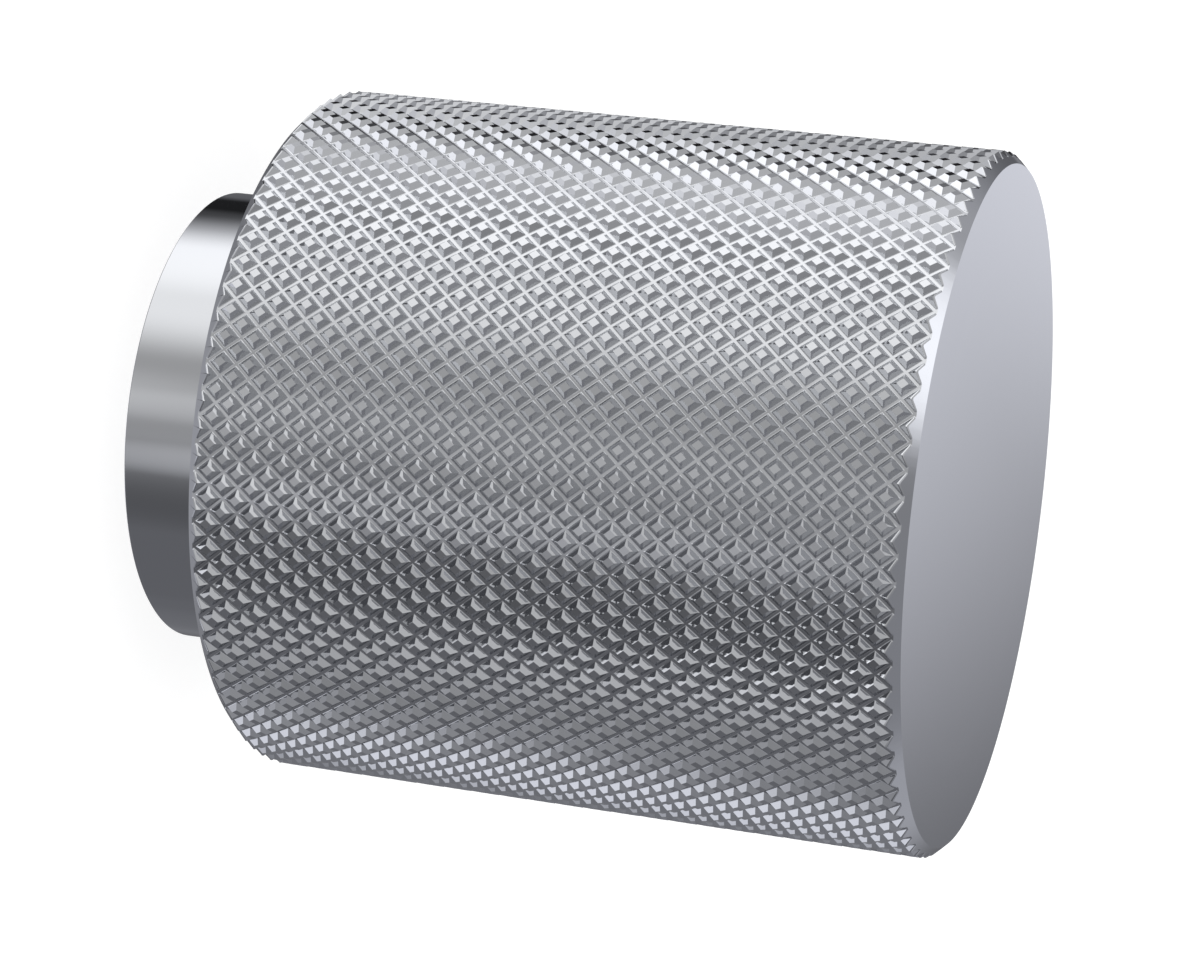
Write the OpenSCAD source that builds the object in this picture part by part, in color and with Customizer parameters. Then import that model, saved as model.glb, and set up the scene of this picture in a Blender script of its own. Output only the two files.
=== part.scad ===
// Knurled knob, turned in one piece from steel bar: a diamond-knurled head on a
// plain collar, with a blind tapped hole in the back for the screw that holds it.
// +Z runs along the turning axis, from the collar to the front of the head.
// The origin is the centre of the collar's back face. All lengths are in millimetres.

/* [Head] */
// Diameter of the head over the crests of the knurl
head_d = 30; // [24:1:60]
// Length of the head along the axis
head_length = 30; // [20:1:60]

/* [Knurl] */
// Grooves round the head in each of the two directions
knurl_starts = 72; // [24:1:76]
// Rows of diamonds along the head, each half a diamond on from the last
knurl_rows = 39; // [8:1:40]
// Depth of the grooves below the crests
knurl_depth = 0.3; // [0.1:0.05:0.6]
// Width of the plain chamfer between an end face and the groove floors
end_land = 0.2; // [0.1:0.05:1]

/* [Collar] */
// Diameter of the collar
collar_d = 20; // [12:0.5:22]
// Length of the collar from its back face to the head
collar_length = 5; // [2:0.5:12]
// Width of the broken edge round the collar's back face
collar_edge = 0.2; // [0.1:0.05:0.5]

/* [Tapped hole] */
// Wall diameter of the hole, which is the core of an M4 thread
hole_d = 3.3; // [2.5:0.1:8]
// Length of the hole's straight wall, from the countersink to the drill point
hole_length = 11.5; // [6:0.5:18]
// Width of the countersink at the mouth of the hole
hole_mouth = 0.5; // [0.2:0.1:1]
// Point angle of the drill
drill_point = 118; // [90:1:140]

/* [Hidden] */
$fn = 144;
EPS = 0.01;

head_r = head_d / 2;
groove_r = head_r - knurl_depth;
rim_r = groove_r - end_land;
collar_r = collar_d / 2;
hole_r = hole_d / 2;
head_back = collar_length;
head_front = head_back + head_length;

// The knurl is a grid of half steps: columns round the head and rows along it.
// Where column plus row is even two grooves cross, and elsewhere there is a crest.
// The end chamfers are at 45 degrees, so they meet the groove floors end_land
// behind each face, and the first and last rows of crossings lie there.
columns = 2 * knurl_starts;
column_angle = 360 / columns;
row_length = (head_length - 2 * end_land) / knurl_rows;
// Where the chamfer cuts the ridge of a crest in an end row, counted down that ridge
ridge_cut = knurl_depth / (row_length + knurl_depth);

function is_crest(column, row) = (column + row) % 2 == 1;
function on_head(r, column, z) =
    [r * cos(column * column_angle), r * sin(column * column_angle), z];
function row_z(row) = head_back + end_land + row * row_length;
// A crest in an end row is cut off by the chamfer: it moves down its ridge and inwards
function cut_crest(column, row) =
    on_head(head_r - ridge_cut * knurl_depth, column,
            row_z(row) + ridge_cut * row_length * (row == 0 ? 1 : -1));
function knurl_point(column, row) =
    !is_crest(column, row) ? on_head(groove_r, column, row_z(row))
    : row == 0 || row == knurl_rows ? cut_crest(column, row)
    : on_head(head_r, column, row_z(row));

// Places of the points in one list: the knurl row by row, then the two rims
function knurl_index(column, row) = row * columns + (column + columns) % columns;
back_rim = (knurl_rows + 1) * columns;
front_rim = back_rim + knurl_starts;
function rim_index(rim, k) = rim + (k + knurl_starts) % knurl_starts;
// Column of the crossing that rim point k of an end row lies beside
function rim_column(k, row) = 2 * k + row % 2;

module knurled_head() {
    points = [
        for (row = [0:knurl_rows], column = [0:columns - 1]) knurl_point(column, row),
        for (k = [0:knurl_starts - 1]) on_head(rim_r, rim_column(k, 0), head_back),
        for (k = [0:knurl_starts - 1]) on_head(rim_r, rim_column(k, knurl_rows), head_front)
    ];
    // Four sloping sides round each crest, or two where the chamfer cut it
    sides = [
        for (row = [0:knurl_rows], column = [0:columns - 1]) if (is_crest(column, row))
            let (crest = knurl_index(column, row),
                 left = knurl_index(column - 1, row),
                 right = knurl_index(column + 1, row))
                for (way = [1, -1])
                    let (end = row + way)
                        if (end >= 0 && end <= knurl_rows)
                            let (tip = knurl_index(column, end))
                                each way > 0 ? [[crest, tip, right], [crest, left, tip]]
                                             : [[crest, right, tip], [crest, tip, left]]
    ];
    back_chamfer = [
        for (k = [0:knurl_starts - 1])
            let (column = rim_column(k, 0),
                 here = knurl_index(column, 0),
                 cut = knurl_index(column + 1, 0),
                 next = knurl_index(column + 2, 0),
                 rim = rim_index(back_rim, k),
                 rim_next = rim_index(back_rim, k + 1))
                each [[rim, here, cut], [rim, cut, rim_next], [rim_next, cut, next]]
    ];
    front_chamfer = [
        for (k = [0:knurl_starts - 1])
            let (column = rim_column(k, knurl_rows),
                 here = knurl_index(column, knurl_rows),
                 cut = knurl_index(column + 1, knurl_rows),
                 next = knurl_index(column + 2, knurl_rows),
                 rim = rim_index(front_rim, k),
                 rim_next = rim_index(front_rim, k + 1))
                each [[here, rim, cut], [rim, rim_next, cut], [rim_next, next, cut]]
    ];
    back_face = [for (k = [0:knurl_starts - 1]) back_rim + k];
    front_face = [for (k = [knurl_starts - 1:-1:0]) front_rim + k];
    polyhedron(points, concat(sides, back_chamfer, front_chamfer, [back_face, front_face]));
}

// The collar runs a little into the head, so that the two are one solid
module collar() {
    rotate_extrude()
        polygon([
            [0, 0],
            [collar_r - collar_edge, 0],
            [collar_r, collar_edge],
            [collar_r, collar_length + end_land],
            [0, collar_length + end_land]
        ]);
}

// The space that the drill and the countersink leave
module tapped_hole() {
    rotate_extrude()
        polygon([
            [0, -EPS],
            [hole_r + hole_mouth + EPS, -EPS],
            [hole_r, hole_mouth],
            [hole_r, hole_mouth + hole_length],
            [0, hole_mouth + hole_length + hole_r / tan(drill_point / 2)]
        ]);
}

module knob() {
    color([0.72, 0.73, 0.76])
        difference() {
            union() {
                knurled_head();
                collar();
            }
            tapped_hole();
        }
}

knob();
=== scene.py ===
from math import atan2, cos, hypot, pi, radians, sin, tan

import bmesh
import bpy
from bmesh.types import BMEdge, BMFace, BMVert
from mathutils import Matrix, Vector


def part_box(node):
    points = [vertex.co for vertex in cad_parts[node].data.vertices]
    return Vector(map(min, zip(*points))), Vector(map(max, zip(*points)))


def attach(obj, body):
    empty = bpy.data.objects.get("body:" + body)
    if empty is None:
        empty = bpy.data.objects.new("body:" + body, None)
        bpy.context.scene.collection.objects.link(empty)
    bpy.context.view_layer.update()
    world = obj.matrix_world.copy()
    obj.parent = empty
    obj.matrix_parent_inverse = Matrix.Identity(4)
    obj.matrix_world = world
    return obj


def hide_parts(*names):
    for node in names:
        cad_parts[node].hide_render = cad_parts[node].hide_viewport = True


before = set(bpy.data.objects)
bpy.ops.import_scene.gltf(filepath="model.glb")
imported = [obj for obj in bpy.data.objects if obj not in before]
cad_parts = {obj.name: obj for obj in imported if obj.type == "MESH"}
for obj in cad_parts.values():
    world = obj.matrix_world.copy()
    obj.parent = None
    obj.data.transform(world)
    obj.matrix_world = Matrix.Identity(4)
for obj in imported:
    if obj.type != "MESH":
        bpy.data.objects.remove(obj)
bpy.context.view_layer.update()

scene = bpy.context.scene
scene.view_settings.view_transform = "Standard"

# The camera
# It stands in front of the knob and a little above it, and is rolled until the knob's
# axis lies almost level in the picture, with the front face to the right.
camera_place = Vector((0, -0.1523, 0.0637))
camera_pitch = radians(73.341)
camera_heading = radians(-0.313)
camera_roll = radians(96.948)
camera_lens = 109.52
sensor_width = 36.0
nearest_seen = 0.01

camera = bpy.data.objects.new("camera", bpy.data.cameras.new("camera"))
camera.data.sensor_width = sensor_width
camera.data.lens = camera_lens
camera.data.clip_start = nearest_seen
camera.matrix_world = (
    Matrix.Translation(camera_place)
    @ Matrix.Rotation(camera_heading, 4, "Z")
    @ Matrix.Rotation(camera_pitch, 4, "X")
    @ Matrix.Rotation(camera_roll, 4, "Z")
)
scene.collection.objects.link(camera)
scene.camera = camera

# The knurled head
# A cylinder of steel bar, rolled under two crossing knurling wheels. They press narrow
# flat-bottomed grooves both ways round, and the metal between stands as small
# flat-topped pyramids. Afterwards both ends are chamfered in the lathe.
highest_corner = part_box("knob")[1]
head_radius = highest_corner.x
head_front = highest_corner.z
head_length = 0.030
head_back = head_front - head_length
head_middle = head_back + head_length / 2
chamfer = 0.0005

knurl_starts = 84
pitch_along = 0.0012757
rows_each_way = 24
knurl_turn = radians(0.27)
groove_depth = 0.00024
groove_width = 0.00013
top_width = 0.00032
groove_radius = head_radius - groove_depth
pitch_round = 2 * pi * head_radius / knurl_starts
pitch_across = pitch_round * pitch_along / hypot(pitch_round, pitch_along)
flank_width = (pitch_across - groove_width - top_width) / 2
end_land = chamfer - groove_depth

edge_radius = 0.00005
rounding_strips = 2
# Where the chamfers cut a flank, an edge longer and sharper than this is rounded too
shortest_cut = 2 * edge_radius
bluntest_cut = radians(60)
cut_rounding = 1.5 * edge_radius

# The finishes by their places on the mesh: rolled in the knurl, turned on the lathe, and
# the narrow roundings between
ROLLED, TURNED, ROUNDED = range(3)
# Points nearer than this are one, in the flat knurl and where its copies meet
one_point = 1e-7
one_seam = 2e-6


def only(kind, items):
    """The items of one kind, such as edges, among those that an operator gives back."""
    return [item for item in items if isinstance(item, kind)]


# The knurl begins flat, as one column of diamond cells that stand in half rows
bm = bmesh.new()
for row in range(-rows_each_way, rows_each_way + 1):
    column_shift = pitch_round / 2 * (row % 2)
    place = Matrix.Translation((column_shift, head_middle + row * pitch_along / 2, 0))
    size = Matrix.Diagonal((pitch_round / 2, pitch_along / 2, 1, 1))
    bmesh.ops.create_circle(bm, cap_ends=True, segments=4, radius=1, matrix=place @ size)
for face in bm.faces:
    if face.normal.z < 0:
        face.normal_flip()
cells = bm.faces[:]

# A narrow rounding runs along the foot of each flank, as on the edge of the wheels: the
# floor comes first, then the rounding in strips, then the flank up to the flat top
slope = atan2(groove_depth, flank_width)
rounding = edge_radius * tan(slope / 2)
rounding_width = edge_radius * sin(slope)
rounding_height = edge_radius * (1 - cos(slope))
insets = [(groove_width / 2 - rounding, 0, ROLLED)]
for strip in range(rounding_strips):
    start_turn = slope * strip / rounding_strips
    end_turn = slope * (strip + 1) / rounding_strips
    strip_width = edge_radius * (sin(end_turn) - sin(start_turn))
    strip_height = edge_radius * (cos(start_turn) - cos(end_turn))
    insets.append((strip_width, strip_height, ROUNDED))
insets.append(
    (flank_width + rounding - rounding_width, groove_depth - rounding_height, ROLLED)
)
for inwards, upwards, finish in insets:
    stepped = bmesh.ops.inset_individual(
        bm, faces=cells, thickness=inwards, depth=upwards, use_even_offset=True
    )
    for face in stepped["faces"]:
        face.material_index = finish
bmesh.ops.remove_doubles(bm, verts=bm.verts, dist=one_point)

# The chamfers cut the knurl off in slanting planes while it is still flat
for end, way in ((head_front, 1), (head_back, -1)):
    cut = bmesh.ops.bisect_plane(
        bm,
        geom=bm.verts[:] + bm.edges[:] + bm.faces[:],
        dist=one_point,
        plane_co=(0, end - way * end_land, 0),
        plane_no=(0, way, 1),
        clear_outer=True,
    )
    cut_edges = only(BMEdge, cut["geom_cut"])
    slant = bmesh.ops.extrude_edge_only(bm, edges=cut_edges)["geom"]
    for vert in only(BMVert, slant):
        vert.co.y = end
        vert.co.z = -end_land
    for face in only(BMFace, slant):
        face.material_index = TURNED
    flank_cuts = [
        edge
        for edge in cut_edges
        if edge.is_valid and edge.calc_length() > shortest_cut
        and edge.calc_face_angle(0) > bluntest_cut
    ]
    rounded = bmesh.ops.bevel(
        bm,
        geom=flank_cuts,
        offset=cut_rounding,
        offset_type="OFFSET",
        segments=2,
        profile=0.5,
        affect="EDGES",
        material=-1,
        clamp_overlap=False,
    )
    for face in rounded["faces"]:
        face.material_index = ROUNDED

# The flat column is bent round the axis, with x as the way round, y as the height and z as
# the distance from the groove floors, and is then repeated all the way round
for vert in bm.verts:
    angle = vert.co.x / head_radius
    reach = groove_radius + vert.co.z
    vert.co = Vector((reach * cos(angle), reach * sin(angle), vert.co.y))
bmesh.ops.rotate(bm, verts=bm.verts, matrix=Matrix.Rotation(knurl_turn, 3, "Z"))
bmesh.ops.spin(
    bm,
    geom=bm.verts[:] + bm.edges[:] + bm.faces[:],
    axis=(0, 0, 1),
    cent=(0, 0, 0),
    angle=2 * pi * (knurl_starts - 1) / knurl_starts,
    steps=knurl_starts - 1,
    use_duplicate=True,
)
bmesh.ops.remove_doubles(bm, verts=bm.verts, dist=one_seam)


class Wire:
    """A socket in a node tree. Arithmetic on wires adds the Math nodes that work it out."""

    def __init__(self, tree, socket=None):
        self.tree = tree
        self.socket = socket

    def node(self, kind, settings, sockets, output=0):
        """Adds a node, with its settings first and then the values or wires of its sockets."""
        made = self.tree.nodes.new("ShaderNode" + kind)
        for name, value in settings.items():
            setattr(made, name, value)
        for name, value in sockets.items():
            socket = self.pick(made.inputs, name)
            if isinstance(value, Wire):
                self.tree.links.new(value.socket, socket)
            else:
                socket.default_value = value
        return Wire(self.tree, self.pick(made.outputs, output) if made.outputs else None)

    @staticmethod
    def pick(sockets, name):
        """A socket by its place or its name; only the enabled ones count among like names."""
        if isinstance(name, int):
            return sockets[name]
        return next(socket for socket in sockets if socket.name == name and socket.enabled)

    def maths(self, operation, *values):
        return self.node("Math", {"operation": operation}, dict(enumerate(values)))

    def at_least(self, lowest):
        return self.maths("MAXIMUM", self, lowest)

    def __add__(self, other):
        return self.maths("ADD", self, other)

    def __radd__(self, other):
        return self.maths("ADD", other, self)

    def __mul__(self, other):
        return self.maths("MULTIPLY", self, other)

    def __rmul__(self, other):
        return self.maths("MULTIPLY", other, self)


def empty_nodes(owner):
    """Clears the nodes of a material or of the world, and returns the wire to add new ones from."""
    owner.use_nodes = True
    owner.node_tree.nodes.clear()
    return Wire(owner.node_tree)


steel_colour = (0.56, 0.57, 0.59, 1)


def bare_steel(start, roughness, relief=None):
    """Finishes a material as the knob's steel, with its roughness and the relief it may have."""
    look = {"Base Color": steel_colour, "Metallic": 1, "Roughness": roughness}
    if relief is not None:
        look["Normal"] = relief
    steel = start.node("BsdfPrincipled", {}, look)
    start.node("OutputMaterial", {}, {"Surface": steel})


# Rolled steel is burnished by the wheels, so it is bright, with a faint unevenness
patch_scale = 900
dimple_scale = 9000
dimple_depth = 2e-6

rolled_steel = bpy.data.materials.new("rolled_steel")
start = empty_nodes(rolled_steel)
place_on_knob = start.node("TexCoord", {}, {}, "Object")
patches = start.node(
    "TexNoise", {}, {"Vector": place_on_knob, "Scale": patch_scale, "Detail": 2}
)
dimples = start.node(
    "TexNoise", {}, {"Vector": place_on_knob, "Scale": dimple_scale, "Detail": 3}
)
uneven = start.node("Bump", {}, {"Height": dimples, "Strength": 0.1, "Distance": dimple_depth})
bare_steel(start, 0.05 + 0.06 * patches, uneven)

# The roundings of the edges are too narrow to mirror anything clearly
rounded_steel = bpy.data.materials.new("rounded_steel")
start = empty_nodes(rounded_steel)
place_on_knob = start.node("TexCoord", {}, {}, "Object")
patches = start.node(
    "TexNoise", {}, {"Vector": place_on_knob, "Scale": patch_scale, "Detail": 2}
)
bare_steel(start, 0.1 + 0.08 * patches)

# The front face, the collar and the back
# Both end faces and the collar are plain turned surfaces on the same bar. The front is
# one flat disc. The collar steps down behind the head, and its outer edge is broken.
collar_radius = 0.010
collar_edge = 0.00005
collar_columns = 336
level_within = 1e-6


def open_ring(mesh, height):
    """The edges of the open rim that lies at a height."""
    return [
        edge
        for edge in mesh.edges
        if edge.is_boundary
        and all(abs(vert.co.z - height) < level_within for vert in edge.verts)
    ]


def turn_to(mesh, ring, height, radius, finish=TURNED):
    """Carries an open ring of edges on to a new height and radius, and returns the new ring."""
    grown = bmesh.ops.extrude_edge_only(mesh, edges=ring)["geom"]
    for vert in only(BMVert, grown):
        angle = atan2(vert.co.y, vert.co.x)
        reach = radius(angle) if callable(radius) else radius
        vert.co = Vector((reach * cos(angle), reach * sin(angle), height))
    for face in only(BMFace, grown):
        face.material_index = finish
    return [edge for edge in only(BMEdge, grown) if edge.is_boundary]


def start_ring(mesh, height, radius, columns):
    """A new ring of edges, which flat_ring then joins to the one outside it."""
    verts = bmesh.ops.create_circle(
        mesh, segments=columns, radius=radius, matrix=Matrix.Translation((0, 0, height))
    )["verts"]
    return list({edge for vert in verts for edge in vert.link_edges})


def flat_ring(mesh, outer, inner):
    """Fills the flat face between two rings that lie at one height."""
    filled = bmesh.ops.triangle_fill(mesh, use_beauty=True, edges=outer + inner)["geom"]
    return only(BMFace, filled)


front_face = bmesh.ops.edgeloop_fill(bm, edges=open_ring(bm, head_front))["faces"]
head_rim = open_ring(bm, head_back)
collar_root = start_ring(bm, head_back, collar_radius, collar_columns)
head_back_face = flat_ring(bm, head_rim, collar_root)
collar_foot = turn_to(bm, open_ring(bm, head_back), collar_edge, collar_radius)
collar_foot = turn_to(bm, collar_foot, 0, collar_radius - collar_edge)

# A lathe tool leaves circles round the axis, so its marks depend on the distance from the
# axis and the height alone, with the two mixed so that they show on the chamfers too
fine_scale = 9000
broad_scale = 900
blotch_scale = 120
mark_depth = 1e-6

turned_steel = bpy.data.materials.new("turned_steel")
start = empty_nodes(turned_steel)
place_on_knob = start.node("TexCoord", {}, {}, "Object")
height_up = start.node("SeparateXYZ", {}, {"Vector": place_on_knob}, "Z")
flat_place = start.node("VectorMath", {"operation": "MULTIPLY"}, {0: place_on_knob, 1: (1, 1, 0)})
off_axis = start.node("VectorMath", {"operation": "LENGTH"}, {0: flat_place}, "Value")
tool_travel = off_axis + 2 * height_up
fine_marks = start.node(
    "TexNoise", {"noise_dimensions": "1D"}, {"W": tool_travel, "Scale": fine_scale, "Detail": 2}
)
broad_marks = start.node(
    "TexNoise", {"noise_dimensions": "1D"}, {"W": tool_travel, "Scale": broad_scale, "Detail": 3}
)
blotches = start.node(
    "TexNoise", {}, {"Vector": place_on_knob, "Scale": blotch_scale, "Detail": 3}
)
marks = start.node("Bump", {}, {"Height": fine_marks, "Strength": 0.1, "Distance": mark_depth})
bare_steel(start, 0.03 + 0.03 * broad_marks + 0.03 * blotches, marks)

# The tapped hole
# A blind hole up the middle of the collar, drilled with a pointed drill, countersunk and
# tapped for an M4 screw. The thread runs out before the drill's point.
hole_radius = 0.00165
hole_mouth = 0.0005
hole_end = 0.012
hole_columns = 48
drill_point = radians(118)
point_radius = 1e-6
thread_pitch = 0.0007
thread_depth = 0.00035
thread_end = 0.0105
thread_rows = 6
rows_in_all = round((thread_end - hole_mouth) / thread_pitch * thread_rows)
thread_slope = 1.3
thread_flat = 0.15


def thread_row(row):
    """The wall's distance from the axis by angle, in one row of the thread's cut."""
    run_in = min(1, row / thread_rows, (rows_in_all - row) / thread_rows)

    def reach(angle):
        turns = (row / thread_rows - angle / (2 * pi)) % 1
        vee = 1 - abs(2 * turns - 1)
        cut_in = min(1, max(0, thread_slope * vee - thread_flat))
        return hole_radius + thread_depth * run_in * cut_in

    return reach


mouth = start_ring(bm, 0, hole_radius + hole_mouth, hole_columns)
back_face = flat_ring(bm, collar_foot, mouth)
wall = turn_to(bm, [edge for edge in mouth if edge.is_boundary], hole_mouth, hole_radius)
for row in range(1, rows_in_all + 1):
    height = hole_mouth + row * thread_pitch / thread_rows
    wall = turn_to(bm, wall, height, thread_row(row))
wall = turn_to(bm, wall, hole_end, hole_radius)
tip = turn_to(bm, wall, hole_end + hole_radius / tan(drill_point / 2), point_radius)
point = bmesh.ops.edgeloop_fill(bm, edges=tip)["faces"]
for face in front_face + head_back_face + back_face + point:
    face.material_index = TURNED

# Flat sides meet at crisp edges, and round ones are shaded smooth
crisp_over = radians(20)
bmesh.ops.recalc_face_normals(bm, faces=bm.faces)
for face in bm.faces:
    face.smooth = True
for edge in bm.edges:
    finishes = {face.material_index for face in edge.link_faces}
    edge.smooth = len(finishes) == 1 and edge.calc_face_angle() < crisp_over

mesh = bpy.data.meshes.new("knob_body")
bm.to_mesh(mesh)
bm.free()
for finish in (rolled_steel, turned_steel, rounded_steel):
    mesh.materials.append(finish)
knob = bpy.data.objects.new("knob_body", mesh)
scene.collection.objects.link(knob)
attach(knob, "root")
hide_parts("knob")

# The floor
# A white table that glows of its own, and sweeps up into a round backdrop. Mirror-bright
# steel doesn't show it, but the studio beyond it, and it is clear from beneath, so that
# the back of the knob can be seen.
floor_radius = 0.8
floor_columns = 96
sweep_radius = 0.5
sweep_steps = 12
backdrop_height = 3.0
table_grey = (0.3, 0.3, 0.3, 1)
plain_white = (1, 1, 1, 1)
table_glow = 0.83

floor_bm = bmesh.new()
bmesh.ops.create_circle(floor_bm, cap_ends=True, segments=floor_columns, radius=floor_radius)
rim = [edge for edge in floor_bm.edges if edge.is_boundary]
for step in range(1, sweep_steps + 1):
    turn = pi / 2 * step / sweep_steps
    height = sweep_radius * (1 - cos(turn))
    rim = turn_to(floor_bm, rim, height, floor_radius + sweep_radius * sin(turn), finish=0)
turn_to(floor_bm, rim, backdrop_height, floor_radius + sweep_radius, finish=0)
for face in floor_bm.faces:
    face.smooth = True
floor_mesh = bpy.data.meshes.new("floor")
floor_bm.to_mesh(floor_mesh)
floor_bm.free()
floor = bpy.data.objects.new("floor", floor_mesh)
scene.collection.objects.link(floor)

lit_table = bpy.data.materials.new("lit_table")
start = empty_nodes(lit_table)
matt = start.node("BsdfDiffuse", {}, {"Color": table_grey})
glow = start.node("Emission", {}, {"Color": plain_white, "Strength": table_glow})
table = start.node("AddShader", {}, {0: matt, 1: glow})
clear = start.node("BsdfTransparent", {}, {})
in_steel = start.node("LightPath", {}, {}, "Is Glossy Ray")
from_beneath = start.node("NewGeometry", {}, {}, "Backfacing")
surface = start.node("MixShader", {}, {0: in_steel.at_least(from_beneath), 1: table, 2: clear})
start.node("OutputMaterial", {}, {"Surface": surface})
floor_mesh.materials.append(lit_table)

# The studio
# A grey tent, turned with the camera: a broad white ceiling over the top of the picture,
# white windows at its sides and behind, small lights in front, and dark cards that give
# the steel its shading.
tent_grey = 0.54
darkest = 0.02

studio = bpy.data.worlds.new("studio")
scene.world = studio
start = empty_nodes(studio)
outward = start.node("TexCoord", {}, {}, "Generated")


def towards(bearing, height):
    """A direction in the picture: 0 is towards the camera, 90 to the right, height upwards."""
    bearing, height = radians(bearing), radians(height)
    aim = Vector((sin(bearing) * cos(height), sin(height), cos(bearing) * cos(height)))
    return camera.matrix_world.to_3x3() @ aim


def soft_light(bearing, height, core, reach, strength):
    """A round light, full up to core degrees off its aim and gone at reach; negative, it is dark."""
    aim = towards(bearing, height)
    nearness = start.node(
        "VectorMath", {"operation": "DOT_PRODUCT"}, {0: outward, 1: aim}, "Value"
    )
    return start.node(
        "MapRange",
        {"interpolation_type": "SMOOTHSTEP"},
        {
            "Value": nearness,
            "From Min": cos(radians(reach)),
            "From Max": cos(radians(core)),
            "To Min": 0,
            "To Max": strength,
        },
    )


ceiling = soft_light(-30, 75, 25, 50, 0.8) + soft_light(-80, 80, 0, 25, 0.3)
left_windows = (
    soft_light(-105, 30, 0, 15, 0.6)
    + soft_light(-85, 30, 0, 25, 0.9)
    + soft_light(-105, -25, 0, 20, 0.9)
)
right_window = soft_light(80, 15, 5, 25, 0.95) + soft_light(70, 30, 15, 30, 0.2)
back_window = soft_light(140, 5, 5, 20, 0.8) + soft_light(160, 5, 5, 10, 0.3)
front_lights = (
    soft_light(-55, 10, 5, 20, 0.35)
    + soft_light(-35, 5, 0, 10, 0.15)
    + soft_light(-40, -20, 0, 10, 0.25)
    + soft_light(-15, -5, 10, 15, 0.25)
    + soft_light(-10, 25, 0, 15, 0.35)
    + soft_light(20, 15, 15, 25, 0.2)
    + soft_light(30, 45, 5, 15, 0.35)
)
dark_cards = (
    soft_light(-85, -60, 25, 70, -0.35)
    + soft_light(60, -30, 20, 45, -0.2)
    + soft_light(15, -5, 5, 20, -0.15)
    + soft_light(175, 10, 0, 65, -0.4)
    + soft_light(-175, 55, 10, 30, -0.25)
    + soft_light(-135, 55, 5, 20, -0.35)
    + soft_light(-165, -40, 0, 20, -0.05)
    + soft_light(-45, -40, 0, 20, -0.05)
    + soft_light(-40, 0, 0, 10, -0.05)
)
brightness = (
    tent_grey + ceiling + left_windows + right_window + back_window + front_lights + dark_cards
).at_least(darkest)

# The light over the camera is a plain white, and gets cooler all the way round from it
cool_white = (0.963, 0.976, 1.061, 1)
over_camera = soft_light(-15, 45, 0, 120, 1)
tint = start.node(
    "Mix",
    {"data_type": "RGBA"},
    {"Factor": over_camera, "A": cool_white, "B": plain_white},
    "Result",
)
light = start.node("Background", {}, {"Color": tint, "Strength": brightness})
start.node("OutputWorld", {}, {"Surface": light})
